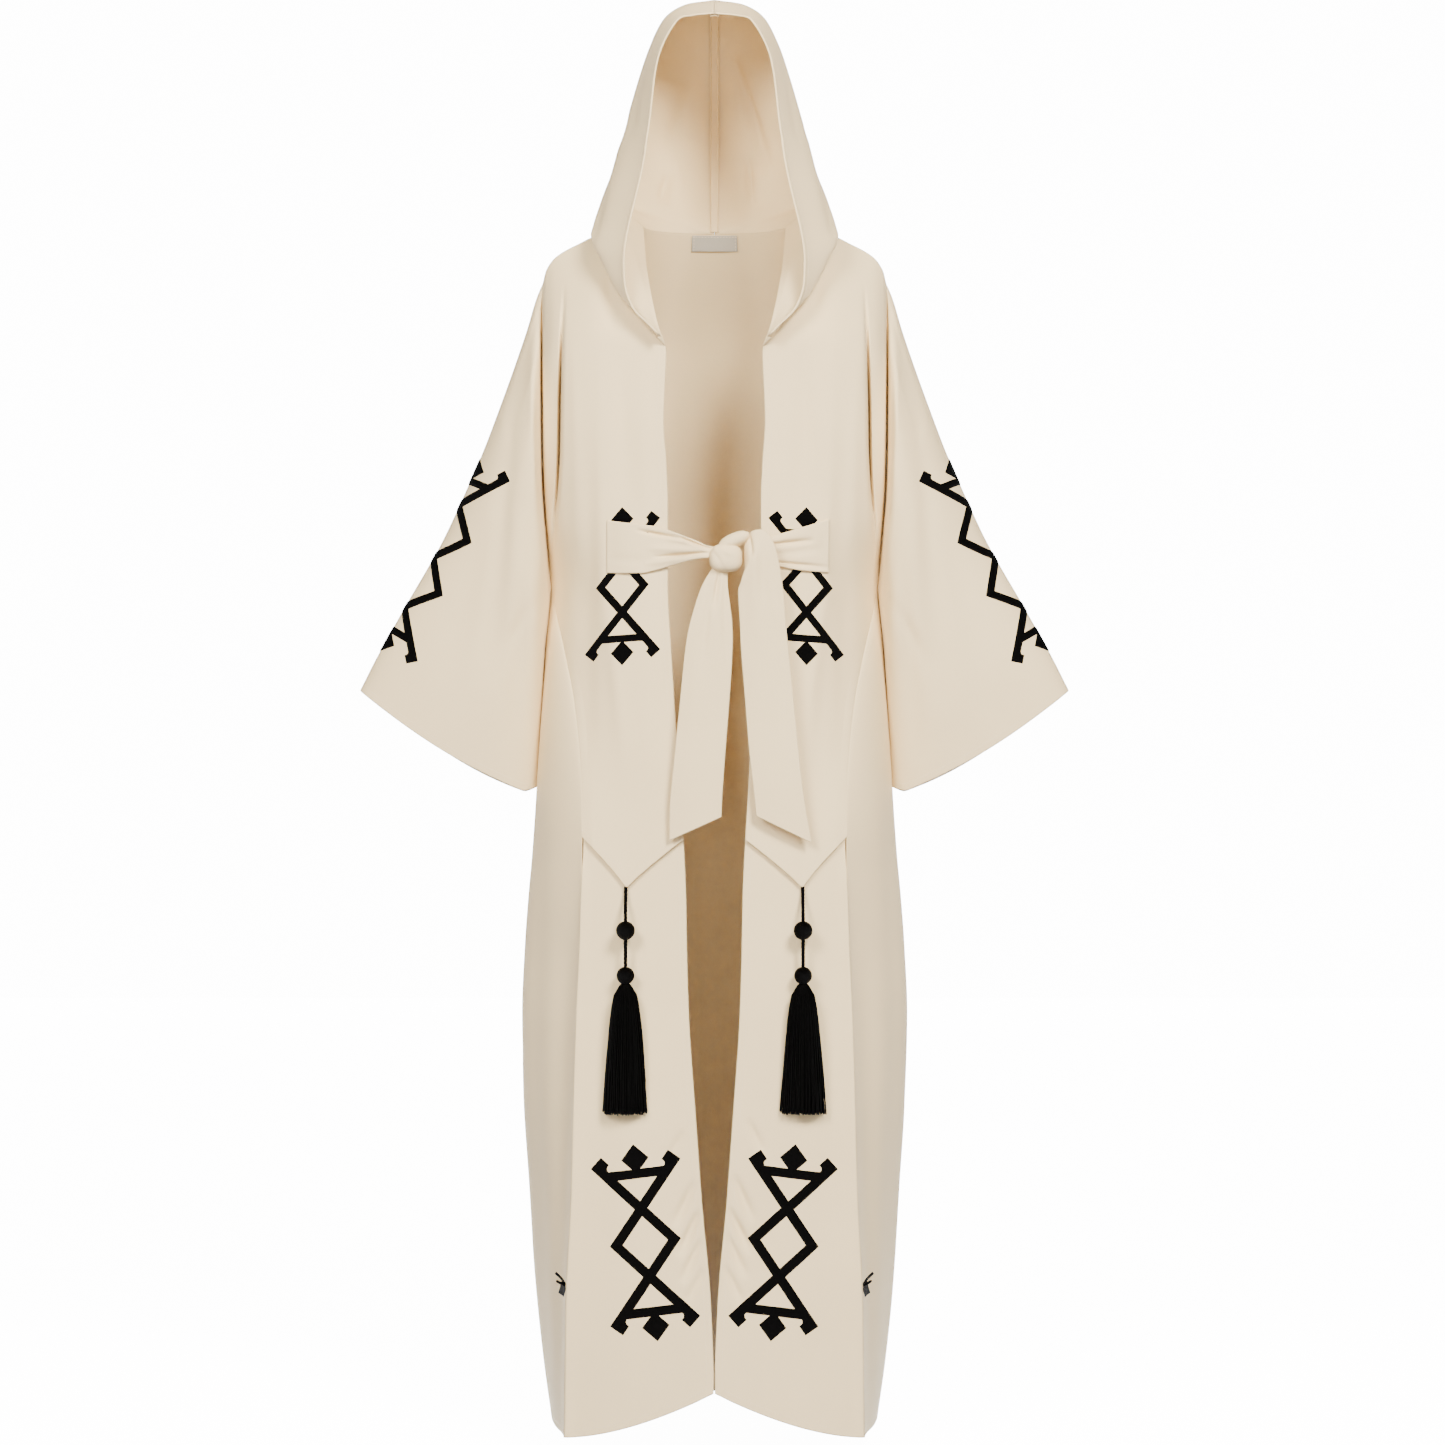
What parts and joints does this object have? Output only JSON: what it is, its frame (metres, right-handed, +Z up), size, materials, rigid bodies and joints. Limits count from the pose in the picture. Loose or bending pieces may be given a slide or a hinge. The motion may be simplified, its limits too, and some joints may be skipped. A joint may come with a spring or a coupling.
{
  "type": "hooded kaftan",
  "caption": "Floor-length hooded kaftan, worn and filled out: open front, wide sleeves, tied half belt, pointed overlay hems with hanging tassels, and thread-worked borders.",
  "frame": {"origin": "where the wearer's shoulders hold it: in the middle between the shoulders, level with the back neck seam", "axes": "+Z up and the open front faces -Y; +X is to the right of one who looks at the front, and names that end in right lie there"},
  "size_m": [0.8496, 0.3725, 1.6964],
  "materials": {
    "crepe": "matte cream crepe",
    "label_satin": "pale woven satin",
    "black_thread": "soft black thread"
  },
  "bodies": {
    "root": {"back": "crepe", "front_left": "crepe", "front_right": "crepe", "overlay_left": "crepe", "overlay_right": "crepe", "gore_left": "crepe", "gore_right": "crepe", "sleeve_left": "crepe", "sleeve_right": "crepe", "hood_left": "crepe", "hood_right": "crepe", "hood_tape": "crepe", "neck_label": "label_satin", "belt_band_left": "crepe", "belt_band_right": "crepe", "belt_knot": "crepe", "belt_tail_left": "crepe", "belt_tail_right": "crepe", "tassel_cord_left": "black_thread", "tassel_cord_right": "black_thread", "bead_upper_left": "black_thread", "bead_upper_right": "black_thread", "bead_lower_left": "black_thread", "bead_lower_right": "black_thread", "tassel_left": "black_thread", "tassel_right": "black_thread"}
  },
  "joints": []
}
